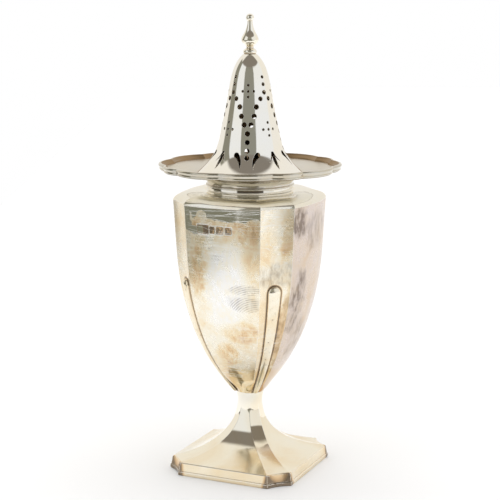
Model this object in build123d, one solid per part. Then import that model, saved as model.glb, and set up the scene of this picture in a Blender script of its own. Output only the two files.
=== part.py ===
"""Silver sugar caster: a square, canted vase on a raised foot, with a pierced, brimmed lift-off cover.

Millimetres, +Z up. The origin is the centre of the flat underside that the caster stands on. X and Y run
along the sides of the square foot, so the wide faces look along X and Y and the canted corners stand at 45
degrees between them.
"""
from build123d import *

import math
import os

# Heights of the main joints
WIRE_TOP = 1.9           # top of the base wire, under the foot's wall
PLINTH_TOP = 5.5         # upper edge of the foot's upright wall
STEM_TOP = 33.2          # where the vase is soldered to the stem
BODY_TOP = 117.5         # upper edge of the vase wall
SHOULDER_TOP = 121.8     # flat of the shoulder, round the neck
NECK_TOP = 124.1         # rim of the neck, on which the cover rests
BRIM_UNDERSIDE = 128.2   # underside of the cover's brim at its centre
BRIM_TOP = 129.0         # top of the brim where the pierced cone stands on it
CONE_TOP = 178.6         # flat on top of the pierced cone
COLLAR_TOP = 180.9       # top of the collar under the finial
TOTAL_HEIGHT = 195.3

# Foot and vase plan: a square of this half width, with each corner canted and hollowed
BASE_HALF = 28.5
CANT_RATIO_BASE = 0.733  # half length of a wide face divided by the half width, at the base
CANT_RATIO_BODY = 0.62   # the same, on the vase
OCTAGON_RATIO = 0.414    # the same, of an even octagon
ROUND_BULGE = 0.082      # arc height over half width that makes an even octagon round
PLINTH_HALF = 27.35
CORNER_HOLLOW = 1.0
WIRE_BREADTH = 2.2
BODY_HALF_TOP = 27.9
SHOULDER_HALF = 28.0
FACE_SWELL = 0.08        # arc height of the vase's wide faces over its half width
PANEL_HOLLOW = 0.03      # arc depth of its corner panels over its half width

# Sheet thicknesses
FOOT_SHEET = 0.8
BODY_SHEET = 0.8
SHOULDER_SHEET = 0.8
CONE_SHEET = 0.7

# Straps up the corner panels
STRAP_STEPS = 6
STRAP_FOOT_REACH = 6.3   # distance of the strap's foot from the axis
STRAP_END = 82.2         # height of the centre of its rounded end
STRAP_END_HALF = 25.43   # half width of the vase at that height
STRAP_BREADTH = 5.8
STRAP_FOOT_BREADTH = 2.1
STRAP_HEIGHT = 1.7
STRAP_FOOT_HEIGHT = 0.75
STRAP_TAPER = 0.75       # power by which it widens upwards: below 1, quickly at first
STRAP_FOOT_CUT = 0.3     # its foot is cut level this far above the stem

# Plain punched recesses in the front face, each as (x of its middle, breadth, height)
PUNCHES = [(-8.2, 5.6, 4.0), (-3.8, 2.5, 3.2), (-0.3, 3.3, 3.4), (3.6, 3.0, 3.2)]
PUNCH_HEIGHT = 108.3
PUNCH_CORNER = 0.7
PUNCH_DEPTH = 0.18

# Neck and cover socket
NECK_OUTER = 18.2
NECK_INNER = 17.25
NECK_BEAD = 18.85
BEZEL_CLEARANCE = 0.15   # radial play between the cover's sleeve and the neck
BEZEL_SHEET = 0.7
BEZEL_DEPTH = 6.6
COVE_TOP_RADIUS = 22.0
COVE_TOP_BREADTH = 1.3
COVE_THROAT = 18.45      # radius of the cove above its lip
COVE_LIP_HEIGHT = 0.45
COVE_HOLLOW_OUTSIDE = (19.4, 0, 126.9)
COVE_HOLLOW_INSIDE = (18.4, 0, 127.1)

# Brim: arcs between inward cusps, one short arc at each corner and two longer ones along each side
SKIRT_RADIUS = 22.5
BRIM_HOLE = 19.6
BRIM_SIDE_RADIUS = 38.9  # out to the middle of a side arc
BRIM_CORNER_RADIUS = 38.7
BRIM_CUSP_RADIUS = 37.2
BRIM_CUSP_ANGLE = 10.5   # degrees from the middle of a corner to its cusps
BRIM_TURN = 4.0          # the cover stands turned this much on the vase
BRIM_EDGE = 130.95       # top of the brim where its border stands on it
BRIM_EDGE_RADIUS = 34.3  # from here outwards the brim is level again
BORDER_SEAT = -1.2       # the plate ends this far inside the border's outline
BLANK_RADIUS = 45        # of the round blank that the brim is cut from

# Finial
SPIGOT_RADIUS = 1.0
BALL_RADIUS = 1.65

# Piercing of the cone
PIERCE_TURN = 19.4       # direction of the first column of holes, measured from -Y towards +X


def polar(radius, degrees):
    """A point at this distance from the axis, with the angle measured from -Y towards +X."""
    angle = math.radians(degrees)
    return Vector(radius * math.sin(angle), -radius * math.cos(angle), 0)


def arc_ring(z, corners, middles):
    """A closed ring of arcs at one height: through each corner, by way of the middle that follows it."""
    lift = Vector(0, 0, z)
    arcs = []
    for index, corner in enumerate(corners):
        following = corners[(index + 1) % len(corners)]
        arcs.append(Edge.make_three_point_arc(corner + lift, middles[index] + lift, following + lift))
    return Wire(arcs)


def canted_ring(z, half, ratio, face_bulge, corner_bulge):
    """A square with canted corners. Each bulge is the height of an arc over its chord, outward positive."""
    long_half = half * ratio
    first = Vector(long_half, -half, 0)
    second = Vector(half, -long_half, 0)
    corners = [point.rotate(Axis.Z, turn) for turn in (0, 90, 180, 270) for point in (first, second)]
    middles = []
    for index, corner in enumerate(corners):
        middle = (corner + corners[(index + 1) % 8]) * 0.5
        bulge = corner_bulge if index % 2 == 0 else face_bulge
        middles.append(middle + middle.normalized() * bulge)
    return arc_ring(z, corners, middles)


def scalloped_ring(z, offset):
    """The brim's outline, moved outward by offset, with a cusp in the middle of each side."""
    side_middle = 45
    arc_middle = (BRIM_CUSP_ANGLE + side_middle) / 2
    cusps = []
    middles = []
    for quarter in range(4):
        corner = 45 + BRIM_TURN + 90 * quarter
        for turn in (-BRIM_CUSP_ANGLE, BRIM_CUSP_ANGLE, side_middle):
            cusps.append(polar(BRIM_CUSP_RADIUS + offset, corner + turn))
        middles.append(polar(BRIM_CORNER_RADIUS + offset, corner))
        for turn in (arc_middle, 90 - arc_middle):
            middles.append(polar(BRIM_SIDE_RADIUS + offset, corner + turn))
    return arc_ring(z, cusps, middles)


def ease(value):
    """A smooth step from 0 to 1."""
    held = min(max(value, 0.0), 1.0)
    return held * held * (3 - 2 * held)


def even_steps(profile, count, inset=0.0):
    """Even steps up a smooth (z, half width) profile, each moved inward square to the profile.

    Each step is (z, half width, level), where level is its height before it was moved.
    """
    curve = Edge.make_spline([Vector(half, 0, z) for z, half in profile])
    steps = []
    for step in range(count + 1):
        point = curve.position_at(step / count)
        tangent = curve.tangent_at(step / count)
        moved = point + Vector(-tangent.Z, 0, tangent.X) * inset
        steps.append((moved.Z, moved.X, point.Z))
    return steps


def turned(points_on_profile):
    """A solid of revolution from a closed run of (radius, z) corners."""
    outline = Polyline([(radius, 0, z) for radius, z in points_on_profile], close=True)
    return revolve(make_face(outline), Axis.Z)


def turned_edges(edges):
    """A solid of revolution from joined profile edges in the XZ plane, closed by a straight line."""
    closing = Edge.make_line(edges[-1].position_at(1), edges[0].position_at(0))
    return revolve(make_face(Wire(edges + [closing])), Axis.Z)


# ---------------------------------------------------------------------------------------------- foot

FOOT_STEPS = 15           # rings that each sweep of the foot is lofted through
FLAT_BULGE = 0.02         # the least arc height of a straight side, so that every ring has the same arcs
OCTAGON_RISE = 19         # height above the wall over which the plan turns from a canted square to an octagon
HOLLOW_RISE = 9           # height above the wall at which the hollow of the corners has run out
ROUND_START = 19.0        # from this height up the octagon turns round
WALL_INSET = 0.25         # the wall stands this far inside the base at its foot
WALL_LEAN = 0.4           # and its edge this far outside the sweep
WALL_EDGE = 0.35          # height of the small bevel at its upper edge

# Outer line of the foot's sweep, as (z, half width)
FOOT_PROFILE = [
    (PLINTH_TOP, PLINTH_HALF), (6.7, 23.0), (8.4, 18.4), (10.8, 14.1), (13.8, 10.8), (17.2, 8.2),
    (20.8, 6.4), (24.3, 5.4), (27.3, 4.95), (30.2, 5.05), (STEM_TOP, 5.5),
]


def foot_ring(z, half, level):
    """A ring of the foot's sweep. level sets its plan, from the canted base to the round stem."""
    octagon = ease((level - PLINTH_TOP) / OCTAGON_RISE)
    ratio = CANT_RATIO_BASE + (OCTAGON_RATIO - CANT_RATIO_BASE) * octagon
    bulge = FLAT_BULGE + ROUND_BULGE * half * ease((level - ROUND_START) / (STEM_TOP - ROUND_START))
    hollow = CORNER_HOLLOW * (1 - ease((level - PLINTH_TOP) / HOLLOW_RISE))
    return canted_ring(z, half, ratio, bulge, bulge - hollow)


def plinth_ring(z, half):
    """A ring of the foot's upright wall."""
    return canted_ring(z, half, CANT_RATIO_BASE, FLAT_BULGE, FLAT_BULGE - CORNER_HOLLOW)


def make_foot():
    """The raised foot: an upright wall, a hollow sweep and a slender stem, open underneath."""
    inner_half = PLINTH_HALF - FOOT_SHEET
    inner_top = PLINTH_TOP - FOOT_SHEET
    wall = Solid.make_loft([
        plinth_ring(WIRE_TOP, BASE_HALF - WALL_INSET),
        plinth_ring(PLINTH_TOP - WALL_EDGE, PLINTH_HALF + WALL_LEAN),
        plinth_ring(PLINTH_TOP, PLINTH_HALF),
    ], True)
    wall_hollow = Solid.make_loft([
        plinth_ring(WIRE_TOP, BASE_HALF - WALL_INSET - FOOT_SHEET),
        plinth_ring(inner_top, inner_half),
    ], True)
    sweep_up = Solid.make_loft([foot_ring(*step) for step in even_steps(FOOT_PROFILE, FOOT_STEPS)])
    inner = even_steps(FOOT_PROFILE, FOOT_STEPS, FOOT_SHEET)
    inner[0] = (inner_top, inner_half, PLINTH_TOP)
    inner[-1] = (STEM_TOP, inner[-1][1], STEM_TOP)
    return (wall + sweep_up) - Solid.make_loft([foot_ring(*step) for step in inner]) - wall_hollow


def make_base_wire():
    """The applied wire that the caster stands on, a little proud of the foot's wall."""
    outside = Solid.make_loft([
        plinth_ring(0, BASE_HALF - 0.1),
        plinth_ring(0.5, BASE_HALF + 0.1),
        plinth_ring(WIRE_TOP - 0.4, BASE_HALF + 0.1),
        plinth_ring(WIRE_TOP, BASE_HALF - 0.15),
    ], True)
    return outside - extrude(make_face(plinth_ring(0, BASE_HALF - WIRE_BREADTH)), WIRE_TOP)


# ---------------------------------------------------------------------------------------------- vase

BODY_STEPS = 18           # rings that the vase is lofted through
SQUARE_RISE = 9           # height above the stem over which the round bottom turns into a canted square

# Outer line of the vase, as (z, half width)
BODY_PROFILE = [
    (STEM_TOP, 5.6), (37.0, 8.2), (42.0, 11.7), (48.0, 15.1), (55.0, 18.4), (63.0, 21.2), (72.0, 23.6),
    (84.0, 25.7), (100.0, 27.0), (BODY_TOP, BODY_HALF_TOP),
]


def body_ring(z, half, level):
    """A ring of the vase: swelling wide faces and hollow corner panels, nearly round at the stem."""
    square = ease((level - STEM_TOP) / SQUARE_RISE)
    ratio = OCTAGON_RATIO + (CANT_RATIO_BODY - OCTAGON_RATIO) * square
    corner = ROUND_BULGE * (1 - square) - PANEL_HOLLOW * square
    return canted_ring(z, half, ratio, FACE_SWELL * half, corner * half)


def vase_solid():
    """The outer shape of the vase wall, filled."""
    return Solid.make_loft([body_ring(*step) for step in even_steps(BODY_PROFILE, BODY_STEPS)])


def inside_vase(depth):
    """The shape of the vase wall, this far under its outer face, with its top at the same level."""
    steps = even_steps(BODY_PROFILE, BODY_STEPS, depth)
    steps[-1] = (BODY_TOP, BODY_HALF_TOP - depth, BODY_TOP)
    return Solid.make_loft([body_ring(*step) for step in steps])


def make_punches():
    """The row of sunk punches, to cut from the front face."""
    front = Plane(origin=(0, -BODY_HALF_TOP / 2, PUNCH_HEIGHT), x_dir=(1, 0, 0), z_dir=(0, -1, 0))
    floor = inside_vase(PUNCH_DEPTH)
    punches = []
    for x, breadth, height in PUNCHES:
        outline = front * Pos(x, 0) * RectangleRounded(breadth, height, PUNCH_CORNER)
        punches.append(extrude(outline, BODY_HALF_TOP) - floor)
    return punches


def make_body(vase):
    """The vase wall with its closed bottom, open at the top."""
    return vase - inside_vase(BODY_SHEET) - make_punches()


def panel_point(z, half):
    """The middle of a corner panel at this height, as (distance from the axis, z)."""
    return half * (1 + CANT_RATIO_BODY) / math.sqrt(2) - PANEL_HOLLOW * half, z


def make_strap(turn, vase):
    """A half-round tapering strap that runs up the middle of a corner panel to a rounded end."""
    path_points = [panel_point(z, half) for z, half in BODY_PROFILE[1:7]]
    path_points = [(STRAP_FOOT_REACH, STEM_TOP)] + path_points + [panel_point(STRAP_END, STRAP_END_HALF)]
    path = Edge.make_spline([Vector(out, 0, z) for out, z in path_points])
    rings = []
    for step in range(STRAP_STEPS + 1):
        along = step / STRAP_STEPS
        breadth = STRAP_FOOT_BREADTH + (STRAP_BREADTH - STRAP_FOOT_BREADTH) * along ** STRAP_TAPER
        height = STRAP_FOOT_HEIGHT + (STRAP_HEIGHT - STRAP_FOOT_HEIGHT) * along ** STRAP_TAPER
        place = Plane(path.position_at(along), x_dir=(0, 1, 0), z_dir=path.tangent_at(along))
        rings.append((place * Ellipse(breadth / 2, height)).wire())
    cap_plane = Plane(place.origin, x_dir=place.z_dir, z_dir=Vector(0, 1, 0))
    half_cap = make_face([
        EllipticalCenterArc((0, 0), breadth / 2, height, start_angle=-90, arc_size=180),
        Line((0, height), (0, -height)),
    ])
    cap = revolve(cap_plane * half_cap, Axis(place.origin, Vector(place.z_dir.Z, 0, -place.z_dir.X)))
    # The strap is drawn over +X, so it is turned onto its corner before the vase is cut from it.
    onto_corner = Rot(0, 0, turn)
    foot_block = Pos(0, 0, STEM_TOP + STRAP_FOOT_CUT) * Box(
        4 * BODY_HALF_TOP, 4 * BODY_HALF_TOP, STEM_TOP, align=(Align.CENTER, Align.CENTER, Align.MAX))
    return (onto_corner * Solid.make_loft(rings) - vase - foot_block) + (onto_corner * cap - vase)


SHOULDER_STEPS = 8

# Outer line of the shoulder, as (z, half width)
SHOULDER_PROFILE = [
    (BODY_TOP, SHOULDER_HALF), (119.3, 27.1), (120.7, 25.0), (121.5, 22.4), (SHOULDER_TOP, 19.0),
]


def shoulder_ring(z, half, _level):
    """A ring of the shoulder, canted at the vase wall and round at the neck."""
    blend = ease((SHOULDER_HALF - half) / (SHOULDER_HALF - NECK_OUTER))
    ratio = CANT_RATIO_BODY + (OCTAGON_RATIO - CANT_RATIO_BODY) * blend
    corner = ROUND_BULGE * blend - PANEL_HOLLOW * (1 - blend)
    return canted_ring(z, half, ratio, FACE_SWELL * half, corner * half)


def make_shoulder():
    """The domed cover plate of the vase, with a round hole under the neck."""
    outside = Solid.make_loft([shoulder_ring(*step) for step in even_steps(SHOULDER_PROFILE, SHOULDER_STEPS)])
    inner = even_steps(SHOULDER_PROFILE, SHOULDER_STEPS, SHOULDER_SHEET)
    inner[0] = (BODY_TOP, BODY_HALF_TOP - BODY_SHEET, BODY_TOP)
    inside = Solid.make_loft([shoulder_ring(*step) for step in inner])
    hole = Pos(0, 0, SHOULDER_TOP) * Cylinder(NECK_INNER, 10)
    return outside - inside - hole


def make_neck():
    """The upright collar round the mouth, flared a little where it meets the shoulder."""
    flare = 0.35
    flare_height = 0.6
    return turned([
        (NECK_INNER, SHOULDER_TOP), (NECK_OUTER + flare, SHOULDER_TOP),
        (NECK_OUTER + flare / 3, SHOULDER_TOP + flare_height / 2), (NECK_OUTER, SHOULDER_TOP + flare_height),
        (NECK_OUTER, NECK_TOP), (NECK_INNER, NECK_TOP),
    ])


def make_neck_bead():
    """The half-round wire soldered round the rim of the neck."""
    half_height = 0.35
    swell_start = NECK_BEAD - half_height
    bottom = NECK_TOP - 2 * half_height
    return turned_edges([
        Edge.make_line(Vector(NECK_OUTER, 0, NECK_TOP), Vector(swell_start, 0, NECK_TOP)),
        Edge.make_three_point_arc(
            Vector(swell_start, 0, NECK_TOP), Vector(NECK_BEAD, 0, NECK_TOP - half_height),
            Vector(swell_start, 0, bottom)),
        Edge.make_line(Vector(swell_start, 0, bottom), Vector(NECK_OUTER, 0, bottom)),
    ])


# --------------------------------------------------------------------------------------------- cover

def make_bezel():
    """The plain sleeve under the cover that drops into the neck."""
    outer = NECK_INNER - BEZEL_CLEARANCE
    inner = outer - BEZEL_SHEET
    bottom = NECK_TOP - BEZEL_DEPTH
    lead_in = 0.25
    return turned([
        (inner, bottom), (outer - lead_in, bottom), (outer, bottom + 2 * lead_in), (outer, NECK_TOP),
        (inner, NECK_TOP),
    ])


def make_cove():
    """The hollow moulding that carries the brim above the neck."""
    sleeve = NECK_INNER - BEZEL_CLEARANCE - BEZEL_SHEET
    lip = NECK_TOP + COVE_LIP_HEIGHT
    bottom_inside = Vector(sleeve, 0, NECK_TOP)
    bottom_outside = Vector(NECK_BEAD, 0, NECK_TOP)
    lip_outside = Vector(COVE_THROAT, 0, lip)
    lip_inside = Vector(sleeve, 0, lip)
    top_outside = Vector(COVE_TOP_RADIUS, 0, BRIM_UNDERSIDE)
    top_inside = Vector(COVE_TOP_RADIUS - COVE_TOP_BREADTH, 0, BRIM_UNDERSIDE)
    hollow_outside = Vector(*COVE_HOLLOW_OUTSIDE)
    hollow_inside = Vector(*COVE_HOLLOW_INSIDE)
    return turned_edges([
        Edge.make_line(bottom_inside, bottom_outside),
        Edge.make_line(bottom_outside, lip_outside),
        Edge.make_three_point_arc(lip_outside, hollow_outside, top_outside),
        Edge.make_line(top_outside, top_inside),
        Edge.make_three_point_arc(top_inside, hollow_inside, lip_inside),
    ])


def under_brim_face():
    """Everything below the brim's upper face: level under the cone, rising, and level at the border."""
    return turned([
        (0, NECK_TOP), (BLANK_RADIUS, NECK_TOP), (BLANK_RADIUS, BRIM_EDGE), (BRIM_EDGE_RADIUS, BRIM_EDGE),
        (SKIRT_RADIUS, BRIM_TOP), (0, BRIM_TOP),
    ])


def brim_block(offset, top):
    """A block with the brim's scalloped outline, up to this height."""
    return extrude(make_face(scalloped_ring(NECK_TOP, offset)), top - NECK_TOP)


def make_brim():
    """The dished plate of the brim, pierced in the middle for the sugar to pass."""
    sheet = BRIM_TOP - BRIM_UNDERSIDE
    solid = under_brim_face() & brim_block(BORDER_SEAT, BRIM_EDGE + sheet)
    return solid - Pos(0, 0, -sheet) * under_brim_face() - Pos(0, 0, BRIM_TOP) * Cylinder(BRIM_HOLE, 10)


# The border's two walls, as (z, offset from the brim's outline)
BORDER_OUTSIDE = [
    (130.05, -0.95), (130.35, -0.55), (130.75, -0.35), (131.2, -0.45), (131.7, -0.2), (132.3, 0.0),
    (132.75, -0.25), (132.95, -0.8),
]
BORDER_INSIDE = [(BRIM_EDGE, -2.7), (131.4, -2.5), (131.9, -2.0), (132.4, -1.5), (132.95, -1.15)]


def make_border():
    """The applied scalloped moulding, wrapped round the edge of the brim."""
    outside = Solid.make_loft([scalloped_ring(z, offset) for z, offset in BORDER_OUTSIDE])
    inside = Solid.make_loft([scalloped_ring(z, offset) for z, offset in BORDER_INSIDE])
    return outside - inside - brim_block(BORDER_SEAT, BRIM_EDGE)


# Outer line of the cone, as (radius, z)
CONE_PROFILE = [
    (SKIRT_RADIUS, BRIM_TOP), (18.0, 133.1), (14.7, 138.0), (12.35, 146.3), (9.6, 160.0), (8.35, 167.0),
    (6.4, 173.6), (2.9, CONE_TOP),
]


def cone_curve():
    """The outer line of the pierced cone, from its skirt to its domed top."""
    return Edge.make_spline([Vector(radius, 0, z) for radius, z in CONE_PROFILE])


def cone_radius(z):
    """Outer radius of the cone at a height, read off its straight chords."""
    for (low_radius, low), (high_radius, high) in zip(CONE_PROFILE, CONE_PROFILE[1:]):
        if z <= high:
            return low_radius + (high_radius - low_radius) * (z - low) / (high - low)
    return CONE_PROFILE[-1][0]


def cone_blank():
    """The cone before it is pierced: an even sheet, closed at the top."""
    outer = cone_curve()
    inner_points = []
    for step in range(9):
        along = step / 8
        tangent = outer.tangent_at(along)
        inward = Vector(-tangent.Z, 0, tangent.X) * CONE_SHEET
        inner_points.append(outer.position_at(along) + inward)
    inner_points[0] = Vector(SKIRT_RADIUS - 1.0, 0, BRIM_TOP)
    inner_points[-1] = Vector(2.2, 0, CONE_TOP - CONE_SHEET)
    inner = Edge.make_spline(inner_points)
    top_outer = Edge.make_line(outer.position_at(1), Vector(0, 0, CONE_TOP))
    axis_line = Edge.make_line(Vector(0, 0, CONE_TOP), Vector(0, 0, CONE_TOP - CONE_SHEET))
    top_inner = Edge.make_line(Vector(0, 0, CONE_TOP - CONE_SHEET), inner.position_at(1))
    skirt = Edge.make_line(inner.position_at(0), outer.position_at(0))
    profile = make_face(Wire([outer, top_outer, axis_line, top_inner, inner, skirt]))
    return revolve(profile, Axis.Z)


def radial_plane(direction):
    """An upright plane through the axis that looks along this direction, with Z up in it."""
    out = polar(1, direction)
    return Plane(origin=(0, 0, 0), x_dir=Vector(-out.Y, out.X, 0), z_dir=out)


def round_hole(direction, z, diameter):
    """A round piercing, drilled towards the axis."""
    reach = cone_radius(z) + 3
    return extrude(radial_plane(direction) * Pos(0, z) * Circle(diameter / 2), reach)


def cut_shape(direction, outline):
    """A shaped piercing, sawn towards the axis."""
    return extrude(radial_plane(direction) * outline, 26)


def comma(side):
    """A bent drop: a round head above, with a tail that sweeps down towards the column of holes."""
    head = Pos(-side * 0.85, 137.7) * Circle(1.1)
    tail = make_face([
        ThreePointArc((-side * 0.2, 138.58), (side * 1.25, 136.2), (side * 1.7, 132.2)),
        ThreePointArc((side * 1.7, 132.2), (side * 0.45, 134.9), (-side * 1.55, 136.85)),
        Line((-side * 1.55, 136.85), (-side * 0.2, 138.58)),
    ])
    return head + tail


def prong(side):
    """A thin curved slit that leaves the head of the middle slit and bends outwards."""
    return make_face([
        ThreePointArc((0, 138.9), (side * 0.95, 136.6), (side * 3.0, 134.7)),
        ThreePointArc((side * 3.0, 134.7), (side * 1.45, 136.75), (side * 0.55, 138.9)),
        Line((side * 0.55, 138.9), (0, 138.9)),
    ])


def middle_slit():
    """The long leaf-shaped slit in the middle of a three-pronged piercing."""
    return make_face([
        ThreePointArc((0, 138.9), (0.75, 136.6), (0, 131.9)),
        ThreePointArc((0, 131.9), (-0.75, 136.6), (0, 138.9)),
    ])


def make_cone():
    """The pierced cone. One pattern of holes and slits repeats on four sides."""
    tools = []
    column = [(136.6, 2.1), (139.4, 2.1), (142.9, 2.1), (146.4, 2.2)]
    branch = [(7, 150.0, 2.2), (14, 153.5, 2.2), (20, 157.3, 2.2), (32, 160.6, 2.0)]
    ridge = [(163.2, 2.0), (166.5, 1.6), (169.5, 1.4)]
    for quarter in range(4):
        middle = PIERCE_TURN + 90 * quarter
        between = middle + 45
        tools += [round_hole(middle, z, size) for z, size in column]
        for side in (-1, 1):
            tools += [round_hole(middle + side * turn, z, size) for turn, z, size in branch]
            tools.append(round_hole(middle + side * 14.7, 163.7, 1.1))
            tools.append(round_hole(between + side * 12.5, 148.0, 1.15))
            tools.append(cut_shape(middle - side * 14, comma(side)))
            tools.append(cut_shape(between, prong(side)))
        tools += [round_hole(between, z, size) for z, size in ridge]
        tools += [round_hole(middle, z, 1.1) for z in (161.4, 163.7, 166.2)]
        tools += [round_hole(between, z, 1.15) for z in (145.5, 148.0, 150.8)]
        tools.append(cut_shape(between, middle_slit()))
    return cone_blank() - tools


def make_finial_collar():
    """The bead under the finial, with a hole for its spigot."""
    bead = Edge.make_spline([
        Vector(2.3, 0, CONE_TOP), Vector(2.8, 0, CONE_TOP + 0.75), Vector(2.75, 0, CONE_TOP + 1.4),
        Vector(2.3, 0, CONE_TOP + 1.95), Vector(1.7, 0, COLLAR_TOP),
    ])
    return turned_edges([
        bead,
        Edge.make_line(Vector(1.7, 0, COLLAR_TOP), Vector(SPIGOT_RADIUS, 0, COLLAR_TOP)),
        Edge.make_line(Vector(SPIGOT_RADIUS, 0, COLLAR_TOP), Vector(SPIGOT_RADIUS, 0, CONE_TOP)),
    ])


def make_finial():
    """The cast finial: a spigot, a baluster drop and a small ball."""
    ball_height = TOTAL_HEIGHT - BALL_RADIUS
    throat = 1.05
    ball_foot = ball_height - math.sqrt(BALL_RADIUS ** 2 - throat ** 2)
    return turned_edges([
        Edge.make_line(Vector(0, 0, CONE_TOP), Vector(SPIGOT_RADIUS, 0, CONE_TOP)),
        Edge.make_line(Vector(SPIGOT_RADIUS, 0, CONE_TOP), Vector(SPIGOT_RADIUS, 0, COLLAR_TOP)),
        Edge.make_line(Vector(SPIGOT_RADIUS, 0, COLLAR_TOP), Vector(1.6, 0, COLLAR_TOP)),
        Edge.make_spline([
            Vector(1.6, 0, COLLAR_TOP), Vector(1.45, 0, 181.4), Vector(1.85, 0, 182.1),
            Vector(2.75, 0, 182.9), Vector(3.42, 0, 183.8), Vector(3.6, 0, 184.75), Vector(3.25, 0, 185.9),
            Vector(2.2, 0, 187.8), Vector(1.42, 0, 189.8), Vector(throat, 0, ball_foot),
        ]),
        Edge.make_three_point_arc(
            Vector(throat, 0, ball_foot), Vector(BALL_RADIUS, 0, ball_height), Vector(0, 0, TOTAL_HEIGHT)),
    ])


def save(name, shape):
    """Write one piece to its own file."""
    export_step(shape, f"parts/{name}.step")


def main():
    os.makedirs("parts", exist_ok=True)
    vase = vase_solid()
    pieces = {
        "base_wire": make_base_wire(),
        "foot": make_foot(),
        "vase_body": make_body(vase),
        "shoulder_plate": make_shoulder(),
        "neck_collar": make_neck(),
        "neck_bead": make_neck_bead(),
        "cover_bezel": make_bezel(),
        "cover_cove": make_cove(),
        "brim_plate": make_brim(),
        "brim_border": make_border(),
        "pierced_cone": make_cone(),
        "finial_collar": make_finial_collar(),
        "finial": make_finial(),
    }
    corners = {"front_right": -45, "back_right": 45, "back_left": 135, "front_left": 225}
    for corner, turn in corners.items():
        pieces[f"strap_{corner}"] = make_strap(turn, vase)
    for name, shape in pieces.items():
        save(name, shape)


main()
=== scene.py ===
"""Looks of the silver sugar caster: materials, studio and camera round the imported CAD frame. Metres, +Z up.

Where smooth() or span() is given a named pair, the pair holds the two ends of a change, in the call's order.
"""

import math

import bpy
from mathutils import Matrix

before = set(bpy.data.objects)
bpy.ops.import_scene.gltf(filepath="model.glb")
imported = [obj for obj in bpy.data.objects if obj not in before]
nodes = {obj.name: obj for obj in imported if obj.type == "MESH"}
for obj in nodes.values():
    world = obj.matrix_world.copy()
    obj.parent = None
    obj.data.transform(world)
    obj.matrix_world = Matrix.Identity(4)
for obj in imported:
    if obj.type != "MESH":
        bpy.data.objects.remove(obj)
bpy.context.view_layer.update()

MILLIMETRE = 0.001
WHITE = (1.0, 1.0, 1.0, 1.0)

# The photograph's camera: direction from the caster, measured from -Y towards +X, and place and aim
CAMERA_TURN = math.radians(24.37)
CAMERA_REACH = 0.5984
CAMERA_HEIGHT = 0.2091
CAMERA_PITCH = math.radians(10.78)
CAMERA_LENS = 102.2
CAMERA_NEAREST = 0.01
SENSOR_WIDTH = 36.0


# --------------------------------------------------------------------------------------- node building

# Where the Mix node keeps its factor, its two plain values, its two colours and the two kinds of result
MIX_FACTOR = 0
MIX_VALUES = (2, 3)
MIX_COLOURS = (6, 7)
MIX_VALUE_RESULT = 0
MIX_COLOUR_RESULT = 2


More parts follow.
